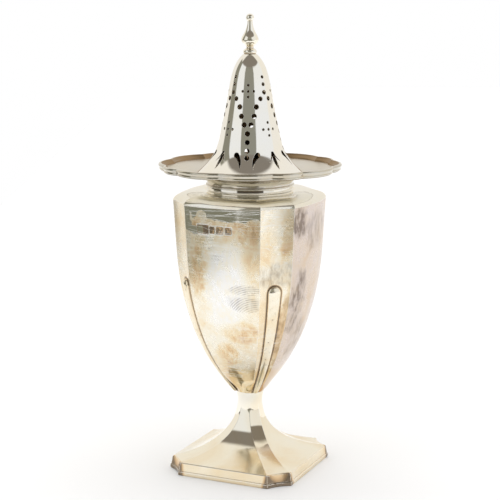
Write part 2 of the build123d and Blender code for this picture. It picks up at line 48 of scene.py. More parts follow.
class Nodes:
    """Every other call returns the output socket of what it makes.
    """

    def __init__(self, tree):
        self.tree = tree
        tree.nodes.clear()

    def add(self, kind, **settings):
        node = self.tree.nodes.new(kind)
        for name, value in settings.items():
            setattr(node, name, value)
        return node

    def join(self, value, socket):
        """Link a socket, or set a plain value on the input."""
        if isinstance(value, bpy.types.NodeSocket):
            self.tree.links.new(value, socket)
        else:
            socket.default_value = value

    def math(self, operation, first, second=0.0, clamp=False):
        node = self.add("ShaderNodeMath", operation=operation, use_clamp=clamp)
        self.join(first, node.inputs[0])
        self.join(second, node.inputs[1])
        return node.outputs[0]

    def plus(self, first, second, clamp=False):
        return self.math("ADD", first, second, clamp)

    def minus(self, first, second):
        return self.math("SUBTRACT", first, second)

    def times(self, first, second, clamp=False):
        return self.math("MULTIPLY", first, second, clamp)

    def larger(self, first, second, clamp=False):
        return self.math("MAXIMUM", first, second, clamp)

    def absolute(self, value):
        return self.math("ABSOLUTE", value)

    def square(self, value):
        return self.math("POWER", value, 2.0)

    def distance(self, side, rise):
        return self.math("SQRT", self.plus(self.square(side), self.square(rise)))

    def smooth(self, value, low, high):
        """0 at low, 1 at high, smooth between; low may be the larger."""
        node = self.add("ShaderNodeMapRange", interpolation_type="SMOOTHSTEP")
        self.join(value, node.inputs["Value"])
        flipped = low > high
        node.inputs["From Min"].default_value = min(low, high)
        node.inputs["From Max"].default_value = max(low, high)
        node.inputs["To Min"].default_value = 1.0 if flipped else 0.0
        node.inputs["To Max"].default_value = 0.0 if flipped else 1.0
        return node.outputs["Result"]

    def span(self, value, low, high):
        """Stretch a 0..1 value over low..high."""
        node = self.add("ShaderNodeMapRange")
        self.join(value, node.inputs["Value"])
        node.inputs["To Min"].default_value = low
        node.inputs["To Max"].default_value = high
        return node.outputs["Result"]

    def mix(self, factor, pair, sockets, result, **settings):
        node = self.add("ShaderNodeMix", **settings)
        self.join(factor, node.inputs[MIX_FACTOR])
        for value, socket in zip(pair, sockets):
            self.join(value, node.inputs[socket])
        return node.outputs[result]

    def blend(self, factor, first, second):
        """The first colour where the factor is 0, the second where it is 1."""
        return self.mix(factor, (first, second), MIX_COLOURS, MIX_COLOUR_RESULT, data_type="RGBA")

    def tinted(self, colour, tint):
        """One colour multiplied by another."""
        return self.mix(1.0, (colour, tint), MIX_COLOURS, MIX_COLOUR_RESULT, data_type="RGBA",
                        blend_type="MULTIPLY")

    def blend_value(self, factor, first, second):
        """The first value where the factor is 0, the second where it is 1."""
        return self.mix(factor, (first, second), MIX_VALUES, MIX_VALUE_RESULT, data_type="FLOAT")

    def ramp(self, value, stops):
        """Colour against a 0..1 value, from stops of (place, colour)."""
        node = self.add("ShaderNodeValToRGB")
        elements = node.color_ramp.elements
        while len(elements) < len(stops):
            elements.new(0.5)
        for element, (place, colour) in zip(elements, stops):
            element.position = place
            element.color = (*colour, 1.0)
        self.join(value, node.inputs[0])
        return node.outputs[0]

    def noise(self, place, scale, detail=3.0, roughness=0.5, distortion=0.0):
        node = self.add("ShaderNodeTexNoise")
        self.join(place, node.inputs["Vector"])
        node.inputs["Scale"].default_value = scale
        node.inputs["Detail"].default_value = detail
        node.inputs["Roughness"].default_value = roughness
        node.inputs["Distortion"].default_value = distortion
        return node.outputs[0]

    def mottle(self, place, low, high, scale, **texture):
        """Noise that varies a value over low..high."""
        return self.span(self.noise(place, scale, **texture), low, high)

    def moved(self, place, scale=(1, 1, 1), turn=(0, 0, 0), shift=(0, 0, 0)):
        node = self.add("ShaderNodeMapping")
        self.join(place, node.inputs["Vector"])
        node.inputs["Location"].default_value = shift
        node.inputs["Rotation"].default_value = turn
        node.inputs["Scale"].default_value = scale
        return node.outputs[0]

    def finish(self, shader, kind="ShaderNodeOutputMaterial"):
        """End the tree with its output node."""
        self.join(shader.outputs[0], self.add(kind).inputs["Surface"])


def axes(build, place):
    """The three coordinates of a place."""
    split = build.add("ShaderNodeSeparateXYZ")
    build.join(place, split.inputs[0])
    return split.outputs


# ------------------------------------------------------------------------------------- wear on silver

# Straight scratches, in layers of (turn, noise scale along them, noise scale across them)
SCRATCH_LAYERS = [
    ((0.5, 0.2, 0.1), 26.0, 1500.0),
    ((-0.9, 0.4, 0.7), 35.0, 1250.0),
    ((1.3, -0.6, 0.3), 44.0, 1000.0),
]
SCRATCH_CRESTS = (0.67, 0.76)
SCRATCH_PATCH_SHIFT = (3.1, 0.7, 1.9)
SCRATCH_PATCH_SCALE = 45.0
SCRATCH_PATCH_EDGE = (0.42, 0.62)

# Long hairlines, in layers of (turn, noise scale across them), and how far off the noise's middle they reach
HAIRLINE_LAYERS = [((0.7, 0.9, 0.2), 420.0), ((-0.4, -1.1, 0.5), 300.0), ((1.1, 0.3, -0.9), 520.0)]
HAIRLINE_SCALE = 40.0
HAIRLINE_REACH = (0.012, 0.004)

# Outer edges, where the rounded normal leaves the true one, and the fine noise that breaks up their wear and
# painted highlight
EDGE_AGREEMENT = (0.998, 0.985)
EDGE_BREAKS = (0.25, 0.55)
EDGE_SAMPLES = 6
# Corners that a cloth doesn't reach, by their ambient occlusion: tarnish gathers there, and the same mask
# paints shade into creases and between touching parts
CORNER_OPENNESS = (0.93, 0.50)
CORNER_SAMPLES = 5
# How surely a surface faces the axis: distance from the axis times the normal's outward part
INWARD = (-0.0005, -0.0015)

# Colour of the metal's reflection under a thickening film of tarnish
FILM = [
    (0.00, (0.95, 0.945, 0.93)),
    (0.25, (0.96, 0.91, 0.78)),
    (0.45, (0.91, 0.77, 0.54)),
    (0.65, (0.82, 0.60, 0.36)),
    (0.85, (0.54, 0.37, 0.21)),
    (1.00, (0.26, 0.20, 0.14)),
]
BARE_SILVER = (0.98, 0.965, 0.93, 1.0)
GRIME = (0.42, 0.39, 0.38, 1.0)
# Film on the inner surfaces of the pieces that have some, from 0 to 1
HOLLOW_FILM = 0.93
BORDER_HOLLOW_FILM = 0.84

# How far scratches and worn edges bare the metal, and how much film wear leaves; on the edges the bared metal
# is wear with a painted highlight
SCRATCH_BARES = 0.55
EDGE_WEAR_AND_HIGHLIGHT_BARES = 0.75
WEAR_AND_HIGHLIGHT_LEAVE_FILM = (1.0, 0.3)
# Roughness of inner surfaces, what scratches, grime and fine noise add to any, and the smoothest there is
HOLLOW_ROUGHNESS = 0.38
SCRATCH_ROUGHENS = 0.12
GRIME_ROUGHENS = 0.15
FINE_ROUGHENS = 0.05
SMOOTHEST = 0.035

# Relief: the fine noise, the grooves of the scratches, and the shallow waves of hand-worked sheet
FINE_SCALE = 900.0
FINE_IN_GROOVES = 0.25
GROOVE_DEPTH = 0.000012
GROOVE_STRENGTH = 0.5
WAVE_TEXTURE = {"detail": 2.0, "roughness": 0.45}


def scratches(build, place, turn, along, fineness):
    """Thin straight scratches: stretched noise, of which only the highest crests are kept."""
    stretched = build.moved(place, scale=(along, along, fineness), turn=turn)
    return build.smooth(build.noise(stretched, 1.0, detail=2.0, roughness=0.6), *SCRATCH_CRESTS)


def hairline(build, place, turn, fineness):
    """Long wandering hairlines: the thin contour where stretched noise passes its middle value."""
    stretched = build.moved(place, scale=(HAIRLINE_SCALE, HAIRLINE_SCALE, fineness), turn=turn)
    off_middle = build.minus(build.noise(stretched, 1.0, detail=1.0), 0.5)
    return build.smooth(build.absolute(off_middle), *HAIRLINE_REACH)


def crossed_scratches(build, place, hairlines):
    """Scratches in three directions and layers of hairlines, broken up into patches."""
    total = 0.0
    for turn, along, fineness in SCRATCH_LAYERS:
        total = build.larger(scratches(build, place, turn, along, fineness), total)
    for turn, fineness in hairlines:
        total = build.larger(hairline(build, place, turn, fineness), total)
    cloud = build.noise(build.moved(place, shift=SCRATCH_PATCH_SHIFT), SCRATCH_PATCH_SCALE, detail=2.0)
    return build.times(total, build.smooth(cloud, *SCRATCH_PATCH_EDGE))


def turned_inward(build, coordinates):
    """1 on surfaces that face the axis of the caster, 0 on those that face away from it."""
    x, y, _ = axes(build, coordinates.outputs["Object"])
    normal_x, normal_y, _ = axes(build, coordinates.outputs["Normal"])
    outward = build.plus(build.times(x, normal_x), build.times(y, normal_y))
    return build.smooth(outward, *INWARD)


def edge_wear_and_highlight(build, rounded_normal, fine, shut_in):
    """1 on outer edges, where handling keeps the metal bare and a highlight is painted: there the rounded
    normal leaves the true one.
    """
    flat_normal = build.add("ShaderNodeNewGeometry").outputs["Normal"]
    agreement = build.add("ShaderNodeVectorMath", operation="DOT_PRODUCT")
    build.join(rounded_normal, agreement.inputs[0])
    build.join(flat_normal, agreement.inputs[1])
    near_edge = build.smooth(agreement.outputs["Value"], *EDGE_AGREEMENT)
    open_edge = build.times(near_edge, build.minus(1.0, shut_in))
    return build.times(open_edge, build.smooth(fine, *EDGE_BREAKS))


class Surface:
    """What a recipe says about a silver surface; film, roughness and grime are sockets or numbers."""

    def __init__(self, film, roughness, tint=None, grime=0.0, waves=0.00005, wave_scale=34.0):
        self.film = film
        self.roughness = roughness
        self.tint = tint
        self.grime = grime
        self.waves = waves
        self.wave_scale = wave_scale


def silver_colour(build, surface, film, scratch, worn):
    """Colour of the reflection, from the film, what bares the metal (scratches, and worn edges with a painted
    highlight), the tint and the grime.
    """
    colour = build.ramp(film, FILM)
    bare = build.larger(build.times(scratch, SCRATCH_BARES), build.times(worn, EDGE_WEAR_AND_HIGHLIGHT_BARES))
    colour = build.blend(bare, colour, BARE_SILVER)
    if surface.tint is not None:
        colour = build.tinted(colour, surface.tint)
    return build.tinted(colour, build.blend(surface.grime, WHITE, GRIME))


def silver_roughness(build, surface, roughness, scratch, fine):
    """Roughness, with what scratches, grime and fine noise add."""
    rough = build.plus(roughness, build.times(scratch, SCRATCH_ROUGHENS))
    rough = build.plus(rough, build.times(surface.grime, GRIME_ROUGHENS))
    rough = build.plus(rough, build.times(build.minus(fine, 0.5), FINE_ROUGHENS), clamp=True)
    return build.larger(rough, SMOOTHEST)


def silver_relief(build, surface, place, scratch, fine, rounded_normal):
    """The normal, with shallow waves and the grooves of the scratches."""
    waves = build.add("ShaderNodeBump")
    waves.inputs["Strength"].default_value = 1.0
    waves.inputs["Distance"].default_value = surface.waves
    build.join(build.noise(place, surface.wave_scale, **WAVE_TEXTURE), waves.inputs["Height"])
    build.join(rounded_normal, waves.inputs["Normal"])
    grooves = build.add("ShaderNodeBump", invert=True)
    grooves.inputs["Strength"].default_value = GROOVE_STRENGTH
    grooves.inputs["Distance"].default_value = GROOVE_DEPTH
    build.join(build.plus(scratch, build.times(fine, FINE_IN_GROOVES)), grooves.inputs["Height"])
    build.join(waves.outputs[0], grooves.inputs["Normal"])
    return grooves.outputs[0]


def silver(name, recipe, edge_radius=0.00012, crevice=0.25, hollow=None, corner_reach=0.0016, hairlines=()):
    """A silver material. recipe(build, place) returns its Surface.

    edge_radius: how rounded its edges look, and how broad its worn edges with their painted highlight are.
    crevice and corner_reach: how much film shut-in corners gain, tarnish together with painted shade, and how
    far out of them. hollow: the film on inner surfaces. hairlines: the layers of them that it has.
    """
    material = bpy.data.materials.new(name)
    material.use_nodes = True
    build = Nodes(material.node_tree)
    coordinates = build.add("ShaderNodeTexCoord")
    place = coordinates.outputs["Object"]
    surface = recipe(build, place)

    fine = build.noise(place, FINE_SCALE, detail=2.0)
    scratch = crossed_scratches(build, place, hairlines)
    corners = build.add("ShaderNodeAmbientOcclusion", samples=CORNER_SAMPLES)
    corners.inputs["Distance"].default_value = corner_reach
    shut_in = build.smooth(corners.outputs["AO"], *CORNER_OPENNESS)
    edge = build.add("ShaderNodeBevel", samples=EDGE_SAMPLES)
    edge.inputs["Radius"].default_value = edge_radius
    rounded_normal = edge.outputs[0]
    # Worn outer edges, which also carry a painted highlight
    worn = edge_wear_and_highlight(build, rounded_normal, fine, shut_in)
    film = build.times(surface.film, build.span(worn, *WEAR_AND_HIGHLIGHT_LEAVE_FILM))
    # Shut-in corners gain film: tarnish, with painted shade in creases and between touching parts
    film = build.plus(film, build.times(shut_in, crevice))
    roughness = surface.roughness
    if hollow is not None:
        inside = turned_inward(build, coordinates)
        film = build.blend_value(inside, film, hollow)
        roughness = build.blend_value(inside, roughness, HOLLOW_ROUGHNESS)

    colour = silver_colour(build, surface, film, scratch, worn)
    shader = build.add("ShaderNodeBsdfPrincipled")
    shader.inputs["Metallic"].default_value = 1.0
    build.join(colour, shader.inputs["Base Color"])
    build.join(silver_roughness(build, surface, roughness, scratch, fine), shader.inputs["Roughness"])
    normal = silver_relief(build, surface, place, scratch, fine, rounded_normal)
    build.join(normal, shader.inputs["Normal"])
    build.finish(shader)
    return material


# ------------------------------------------------------------------------------------------- the vase

# Half the angle that a wide face spans about the axis, half the angle of a narrow panel between two of them,
# and how softly a face ends
FACE_HALF = 0.555
PANEL_HALF = math.pi / 4 - FACE_HALF
FACE_SOFTNESS = 0.012

# How much the vase's noises add to its film, and the film that is then taken off everywhere
LARGE_FILM = 0.50
MIDDLE_FILM = 0.62
STREAK_FILM = 0.34
FILM_TAKEN_OFF = 0.40

# How far noise moves the outlines of patches, and how streaks break patches up
PATCH_WANDER = 0.010
PATCH_SOFTNESS = 0.8
BREAK_EDGE = (0.36, 0.62)
BREAK_STRENGTH = (0.40, 1.50)
GRIME_STREAKS = (0.35, 0.60)
GRIME_STREAK_STRENGTH = (0.5, 1.3)

# Patches of film and of grime on the front face, the panel to its right and the right side, as (centre,
# reach, weight) with centre and reach in millimetres
FRONT_FILM = [
    ((7.0, 108.5), (17.0, 7.5), 0.22), ((-9.5, 101.5), (6.0, 6.0), 0.10), ((-12.0, 90.5), (5.5, 12.0), 0.20),
    ((6.0, 64.5), (11.0, 6.0), 0.20), ((-1.0, 54.0), (7.0, 6.0), 0.20), ((13.0, 93.0), (7.0, 9.0), 0.10),
    ((-11.5, 110.5), (3.0, 4.5), 0.24), ((1.5, 86.0), (12.0, 26.0), -0.24),
    ((-6.0, 62.0), (9.0, 10.0), -0.10),
]
FRONT_GRIME = [((10.0, 83.5), (9.0, 2.0), 0.16), ((10.0, 77.5), (8.5, 4.5), 0.18)]
PANEL_FILM = [
    ((5.5, 106.0), (4.0, 11.0), 0.22), ((-4.0, 101.0), (6.0, 10.0), 0.12), ((0.0, 97.0), (3.5, 6.0), -0.12),
    ((6.0, 62.0), (4.0, 28.0), 0.24), ((-6.0, 60.0), (3.5, 28.0), 0.12),
]
PANEL_GRIME = [((1.0, 89.5), (12.0, 7.0), 0.34), ((6.5, 62.0), (4.5, 26.0), 0.34)]
SIDE_FILM = [
    ((-3.0, 98.0), (10.0, 11.0), 0.06), ((6.0, 78.0), (8.0, 16.0), 0.05), ((0.0, 85.0), (40.0, 60.0), -0.14),
]
SIDE_GRIME = [
    ((-13.5, 111.0), (7.0, 9.0), 0.80), ((-9.5, 77.0), (7.0, 17.0), 0.55), ((0.0, 60.0), (9.0, 12.0), 0.30),
    ((2.0, 106.0), (14.0, 10.0), 0.30),
]
SIDE_TINT = (0.74, 0.66, 0.64, 1.0)

# The four plain punched recesses in the front face, as (x of the middle, half breadth, half height) in
# millimetres, with how far their dark floor stays inside that outline and their bright rim goes outside it.
# The dark floor is tarnish with painted shade; the bright rim is a painted highlight.
PUNCHED = [(-8.2, 2.8, 2.0), (-3.8, 1.25, 1.6), (-0.3, 1.65, 1.7), (3.6, 1.5, 1.6)]
PUNCHED_HEIGHT = 108.3
PUNCHED_FLOOR_INSET = (0.2, 0.25)
PUNCHED_FLOOR_SOFTNESS = 0.15
PUNCHED_FLOOR_STREAKS = (0.42, 0.52)
PUNCHED_FLOOR_FILM_AND_SHADE = (0.62, 1.1)
PUNCHED_RIM_BREADTH = (0.15, 0.25)
PUNCHED_RIM_SOFTNESS = 0.08
PUNCHED_RIM_HIGHLIGHT = (1.0, 0.25)

# The straps: heights of their foot and of the middle of their rounded end, and their half breadth there
STRAP_FOOT_HEIGHT = 0.0332
STRAP_END_HEIGHT = 0.0822
STRAP_FOOT_HALF = 0.00105
STRAP_END_HALF = 0.0029
STRAP_TAPER = 0.65
# The painted shadow beside them: the gaps at which it ends and is full, and the film it adds
STRAP_SHADOW_GAP = (0.00085, 0.00015)
STRAP_SHADOW_FILM = 0.85

# A smeared thumb print on the front face: where its rings are centred and its patches lie, in millimetres
PRINT_CENTRE = (14.0, 68.0)
PRINT_PATCHES = [((10.0, 83.5), (8.0, 2.6)), ((9.5, 77.0), (7.5, 4.0))]
PRINT_SOFTNESS = 0.5
PRINT_PITCH = 0.0009
PRINT_RIDGE = (-0.1, 0.9)
PRINT_GRIME = 0.42

# Polish: its rippled outline, how high it goes up from the stem, and the band under the shoulder with its
# lower edge, the strip at its left end that hangs lower, that strip's foot and the amber bay in the strip
RIPPLE_SCALE = 150.0
RIPPLE_HEIGHT = 0.006
STEM_POLISH = (0.0475, 0.0440)
STEM_FILM = 0.22
BAND_EDGE = (0.1122, 0.1126)
BAND_STRIP = (-0.0128, -0.0138)
BAND_STRIP_DROP = 0.0060
BAND_FOOT = ((-13.0, 107.5), (5.5, 2.2))
BAND_FOOT_SOFTNESS = 0.2
AMBER_BAY = ((-11.4, 112.2), (2.4, 3.4))
AMBER_BAY_SOFTNESS = 0.2
AMBER_BAY_RIPPLE = 3.0
BAND_FILM = (1.0, 0.15)
POLISHED_ROUGHNESS = 0.07
SATIN_ROUGHNESS = (0.20, 0.36)


def blob(build, across, up, centre, reach, softness):
    """A soft round patch: 1 in its middle, 0 beyond its reach; both are (across, up) in millimetres."""
    parts = []
    for value, middle, size in zip((across, up), centre, reach):
        offset = build.minus(value, middle * MILLIMETRE)
        parts.append(build.square(build.math("DIVIDE", offset, size * MILLIMETRE)))
    return build.smooth(build.plus(*parts), 1.0, 1.0 - softness)


def oblong(build, across, up, centre, reach, softness):
    """A rectangular patch: 1 inside, 0 beyond its half sizes; both are (across, up) in millimetres."""
    parts = []
    for value, middle, size in zip((across, up), centre, reach):
        offset = build.absolute(build.minus(value, middle * MILLIMETRE))
        parts.append(build.math("DIVIDE", offset, size * MILLIMETRE))
    return build.smooth(build.larger(*parts), 1.0 + softness, 1.0)


def add_patches(build, total, mask, across, up, patches):
    """Add patches, each (centre, reach, weight), to a value, as much as the mask lets them."""
    for centre, reach, weight in patches:
        patch = build.times(blob(build, across, up, centre, reach, PATCH_SOFTNESS), mask)
        total = build.plus(total, build.times(patch, weight))
    return total


class Vase:
    """Where a point of the vase is: its coordinates, its face and its place on it. Also the shared noises."""

    def __init__(self, build, place):
        self.x, self.y, self.z = axes(build, place)
        self.large = build.noise(place, 36.0, detail=3.0, roughness=0.55, distortion=0.8)
        shifted = build.moved(place, shift=(0.4, 0.9, 0.2))
        self.middle = build.noise(shifted, 130.0, detail=6.0, roughness=0.68, distortion=0.4)
        streaked = build.moved(place, scale=(1.0, 1.0, 0.30), turn=(0.5, 0.3, 0.2))
        self.streaks = build.noise(streaked, 330.0, detail=4.0, roughness=0.65)
        finely_streaked = build.moved(place, scale=(1.0, 1.0, 0.45), turn=(0.2, 0.9, 0.1))
        self.fine_streaks = build.noise(finely_streaked, 420.0, detail=5.0, roughness=0.7)
        ripples = build.noise(place, RIPPLE_SCALE, detail=2.0)
        self.ripple = build.times(build.minus(ripples, 0.5), RIPPLE_HEIGHT)
        self.broken = build.span(build.smooth(self.fine_streaks, *BREAK_EDGE), *BREAK_STRENGTH)
        self.find_face(build)
        self.find_place_on_face(build)

    def find_face(self, build):
        """Masks of the front face, the panel to its right and the right side, from the direction outwards."""
        direction = build.math("ARCTAN2", self.x, build.times(self.y, -1.0))
        self.front = self.face(build, direction, FACE_HALF)
        self.panel = self.face(build, build.minus(direction, math.pi / 4), PANEL_HALF)
        self.side = self.face(build, build.minus(direction, math.pi / 2), FACE_HALF)

    @staticmethod
    def face(build, angle, half):
        return build.smooth(build.absolute(angle), half + FACE_SOFTNESS, half - FACE_SOFTNESS)

    def find_place_on_face(self, build):
        """Wandering height and distances across each face, and the true distance across a panel."""
        wander = build.times(build.minus(self.middle, 0.5), PATCH_WANDER)
        self.up = build.plus(self.z, wander)
        self.front_across = build.minus(self.x, wander)
        self.side_across = build.plus(self.y, wander)
        off_diagonal = build.minus(build.absolute(self.x), build.absolute(self.y))
        self.strap_across = build.times(off_diagonal, math.sqrt(0.5))
        self.panel_across = build.plus(self.strap_across, wander)


def thumb_print(build, across, up):
    """Curved ridges left by a thumb, in two patches."""
    side = build.minus(across, PRINT_CENTRE[0] * MILLIMETRE)
    rise = build.minus(up, PRINT_CENTRE[1] * MILLIMETRE)
    phase = build.times(build.distance(side, rise), 2 * math.pi / PRINT_PITCH)
    ridges = build.smooth(build.math("SINE", phase), *PRINT_RIDGE)
    where = 0.0
    for centre, reach in PRINT_PATCHES:
        where = build.larger(blob(build, across, up, centre, reach, PRINT_SOFTNESS), where)
    return build.times(ridges, where)


def strap_shadow(build, across, up):
    """A painted shadow: the dark line along both sides of a strap and round its end."""
    above_foot = build.minus(up, STRAP_FOOT_HEIGHT)
    along = build.math("DIVIDE", above_foot, STRAP_END_HEIGHT - STRAP_FOOT_HEIGHT, clamp=True)
    half_breadth = build.span(build.math("POWER", along, STRAP_TAPER), STRAP_FOOT_HALF, STRAP_END_HALF)
    beyond_end = build.larger(build.minus(up, STRAP_END_HEIGHT), 0.0)
    gap = build.minus(build.distance(build.absolute(across), beyond_end), half_breadth)
    return build.smooth(gap, *STRAP_SHADOW_GAP)


def punched_marks(build, vase):
    """The dark floor of each punched recess, tarnish with painted shade, and its bright rim, a painted
    highlight.
    """
    floor_film_and_shade = 0.0
    rim_highlights = 0.0
    for middle, *half_sizes in PUNCHED:
        centre = (middle, PUNCHED_HEIGHT)
        inner = [half - inset for half, inset in zip(half_sizes, PUNCHED_FLOOR_INSET)]
        outer = [half + breadth for half, breadth in zip(half_sizes, PUNCHED_RIM_BREADTH)]
        floor = oblong(build, vase.x, vase.z, centre, inner, PUNCHED_FLOOR_SOFTNESS)
        rim = oblong(build, vase.x, vase.z, centre, outer, PUNCHED_RIM_SOFTNESS)
        floor_film_and_shade = build.larger(floor, floor_film_and_shade)
        rim_highlights = build.larger(rim, rim_highlights)
    return build.times(floor_film_and_shade, vase.front), build.times(rim_highlights, vase.front)


def polished_band(build, vase):
    """The mirror-bright band under the shoulder of the front face, lower at its left end."""
    across = build.plus(vase.x, vase.ripple)
    height = build.plus(vase.z, vase.ripple)
    drop = build.times(build.smooth(across, *BAND_STRIP), BAND_STRIP_DROP)
    band = build.smooth(build.plus(height, drop), *BAND_EDGE)
    foot = blob(build, across, height, *BAND_FOOT, BAND_FOOT_SOFTNESS)
    ragged = build.times(vase.ripple, AMBER_BAY_RIPPLE)
    bay_across = build.plus(vase.x, ragged)
    bay_height = build.plus(vase.z, ragged)
    bay = oblong(build, bay_across, bay_height, *AMBER_BAY, AMBER_BAY_SOFTNESS)
    return build.times(build.larger(build.minus(band, bay), foot, clamp=True), vase.front)


def vase_film(build, vase):
    """Blotchy film, thicker and thinner in patches, with a painted shadow along the straps, and the punched
    marks with tarnish and painted shade on their floor and a painted highlight on their rim.
    """
    film = build.plus(build.times(vase.large, LARGE_FILM), build.times(vase.middle, MIDDLE_FILM))
    film = build.plus(film, build.times(vase.fine_streaks, STREAK_FILM))
    film = build.minus(film, FILM_TAKEN_OFF)
    broken_front = build.times(vase.front, vase.broken)
    film = add_patches(build, film, broken_front, vase.front_across, vase.up, FRONT_FILM)
    film = add_patches(build, film, vase.panel, vase.panel_across, vase.up, PANEL_FILM)
    film = add_patches(build, film, vase.side, vase.side_across, vase.up, SIDE_FILM)
    # Painted shadow along both sides and round the end of each strap
    strap_shade = strap_shadow(build, vase.strap_across, vase.z)
    film = build.plus(film, build.times(strap_shade, STRAP_SHADOW_FILM))
    # Tarnish with painted shade on the recess floor, a painted highlight on its rim
    floor_film_and_shade, rim_highlights = punched_marks(build, vase)
    film = build.times(film, build.span(rim_highlights, *PUNCHED_RIM_HIGHLIGHT))
    streaked = build.smooth(vase.fine_streaks, *PUNCHED_FLOOR_STREAKS)
    return build.plus(film, build.times(floor_film_and_shade, build.span(streaked, *PUNCHED_FLOOR_FILM_AND_SHADE)))


def vase_grime(build, vase):
    """Grey grime in streaky patches, and the thumb print."""
    grime = add_patches(build, 0.0, vase.front, vase.front_across, vase.up, FRONT_GRIME)
    broken_panel = build.times(vase.panel, vase.broken)
    grime = add_patches(build, grime, broken_panel, vase.panel_across, vase.up, PANEL_GRIME)
    broken_side = build.times(vase.side, vase.broken)
    grime = add_patches(build, grime, broken_side, vase.side_across, vase.up, SIDE_GRIME)
    streaked = build.span(build.smooth(vase.streaks, *GRIME_STREAKS), *GRIME_STREAK_STRENGTH)
    grime = build.times(grime, streaked, clamp=True)
    ridges = build.times(build.times(thumb_print(build, vase.x, vase.z), vase.front), vase.broken)
    return build.plus(grime, build.times(ridges, PRINT_GRIME), clamp=True)


def vase_recipe(build, place):
    """Worn satin with amber patches, mirror-bright near the stem and in a wavy band under the shoulder."""
    vase = Vase(build, place)
    film = vase_film(build, vase)
    grime = vase_grime(build, vase)
    near_stem = build.smooth(build.plus(vase.z, vase.ripple), *STEM_POLISH)
    band = polished_band(build, vase)
    satin = build.span(vase.middle, *SATIN_ROUGHNESS)
    roughness = build.blend_value(build.larger(near_stem, band), satin, POLISHED_ROUGHNESS)
    film = build.times(film, build.span(band, *BAND_FILM), clamp=True)
    film = build.plus(film, build.times(near_stem, STEM_FILM))
    return Surface(film, roughness, build.blend(vase.side, WHITE, SIDE_TINT), grime, waves=0.00009)


# ------------------------------------------------------------------------------------ the other recipes

# On the foot: the heights at which the wall's film, the darker corners and the satin are nil and full, and
# the sums of x and y at which the corners are. The darker corner walls are a painted reflection of the shaded
# table beside the foot.
FOOT_WALL = (0.0056, 0.0050)
FOOT_WALL_FILM = 0.10
FOOT_CORNER = (0.046, 0.0485)
FOOT_CORNER_WALL = (0.0062, 0.0054)
FOOT_CORNER_REFLECTED_SHADE = 0.75
FOOT_SATIN = (0.015, 0.007)
FOOT_STEM_ROUGHNESS = 0.045

STRAP_SPECKS = (0.62, 0.72)
STRAP_SPECK_GRIME = 0.5
CONE_SMEARS = (0.45, 0.75)


def strap_recipe(build, place):
    """Bright along the ridge, with worn specks."""
    film = build.mottle(place, low=0.05, high=0.62, scale=120.0, detail=4.0, roughness=0.6)
    roughness = build.mottle(place, low=0.10, high=0.32, scale=240.0)
    specks = build.smooth(build.noise(place, 700.0, detail=2.0), *STRAP_SPECKS)
    return Surface(film, roughness, grime=build.times(specks, STRAP_SPECK_GRIME))


def shoulder_recipe(build, place):
    """Polished, with an even golden film."""
    film = build.mottle(place, low=0.06, high=0.40, scale=60.0)
    roughness = build.mottle(place, low=0.035, high=0.085, scale=150.0, detail=2.0)
    return Surface(film, roughness, tint=(0.94, 0.95, 0.97, 1.0), waves=0.00010, wave_scale=60.0)


def foot_recipe(build, place):
    """Bright round the stem, softer and golden towards the edge, darker on the corner walls with a painted
    reflection of the shaded table.
    """
    x, y, z = axes(build, place)
    film = build.mottle(place, low=0.0, high=0.60, scale=42.0, distortion=0.6)
    film = build.plus(film, build.times(build.smooth(z, *FOOT_WALL), FOOT_WALL_FILM))
    # The lower walls of the corners get a painted reflection of the shaded table beside the foot
    corner = build.smooth(build.plus(build.absolute(x), build.absolute(y)), *FOOT_CORNER)
    shaded_corner_wall = build.times(corner, build.smooth(z, *FOOT_CORNER_WALL))
    film = build.plus(film, build.times(shaded_corner_wall, FOOT_CORNER_REFLECTED_SHADE))
    satin = build.mottle(place, low=0.09, high=0.26, scale=130.0)
    roughness = build.blend_value(build.smooth(z, *FOOT_SATIN), FOOT_STEM_ROUGHNESS, satin)
    return Surface(film, roughness, waves=0.00012, wave_scale=60.0)


def cone_recipe(build, place):
    """The best kept polish, with faint smears."""
    film = build.mottle(place, low=-0.05, high=0.26, scale=70.0, distortion=0.5)
    smear = build.smooth(build.noise(place, 160.0), *CONE_SMEARS)
    roughness = build.span(smear, 0.05, 0.12)
    return Surface(film, roughness, waves=0.00008, wave_scale=48.0)


def finial_recipe(build, place):
    """Turned knob, brown where a cloth doesn't reach: tarnish there, with painted shade in its grooves."""
    film = build.mottle(place, low=-0.05, high=0.40, scale=130.0)
    roughness = build.mottle(place, low=0.05, high=0.13, scale=200.0, detail=2.0)
    return Surface(film, roughness)


def brim_recipe(build, place):
    """An even beige satin."""
    film = build.mottle(place, low=0.02, high=0.34, scale=48.0, detail=4.0, roughness=0.6)
    roughness = build.mottle(place, low=0.24, high=0.36, scale=120.0)
    return Surface(film, roughness, tint=(0.80, 0.80, 0.81, 1.0))


def border_recipe(build, place):
    """Cast moulding, brown in its hollows."""
    film = build.mottle(place, low=0.05, high=0.45, scale=140.0)
    roughness = build.mottle(place, low=0.06, high=0.15, scale=200.0)
    return Surface(film, roughness, tint=(0.66, 0.66, 0.665, 1.0), waves=0.00012, wave_scale=150.0)


def cove_recipe(build, place):
    """Brownish hollow moulding under the cone."""
    film = build.mottle(place, low=0.06, high=0.40, scale=110.0)
    roughness = build.mottle(place, low=0.06, high=0.14, scale=180.0, detail=2.0)
    return Surface(film, roughness, tint=(0.70, 0.70, 0.72, 1.0))


def neck_recipe(build, place):
    """Bright moulding round the neck."""
    film = build.mottle(place, low=-0.05, high=0.26, scale=90.0)
    roughness = build.mottle(place, low=0.035, high=0.09, scale=180.0, detail=2.0)
    return Surface(film, roughness, tint=(0.90, 0.91, 0.94, 1.0))


def sleeve_recipe(build, place):
    """Dull metal on the plain sleeve that is hidden in the neck."""
    film = build.mottle(place, low=0.3, high=0.75, scale=80.0, detail=4.0)
    roughness = build.mottle(place, low=0.25, high=0.4, scale=160.0)
    return Surface(film, roughness)


def dress(material, *names):
    """Put one material on all faces of the named nodes."""
    for name in names:
        for slot in nodes[name].material_slots:
            slot.material = material


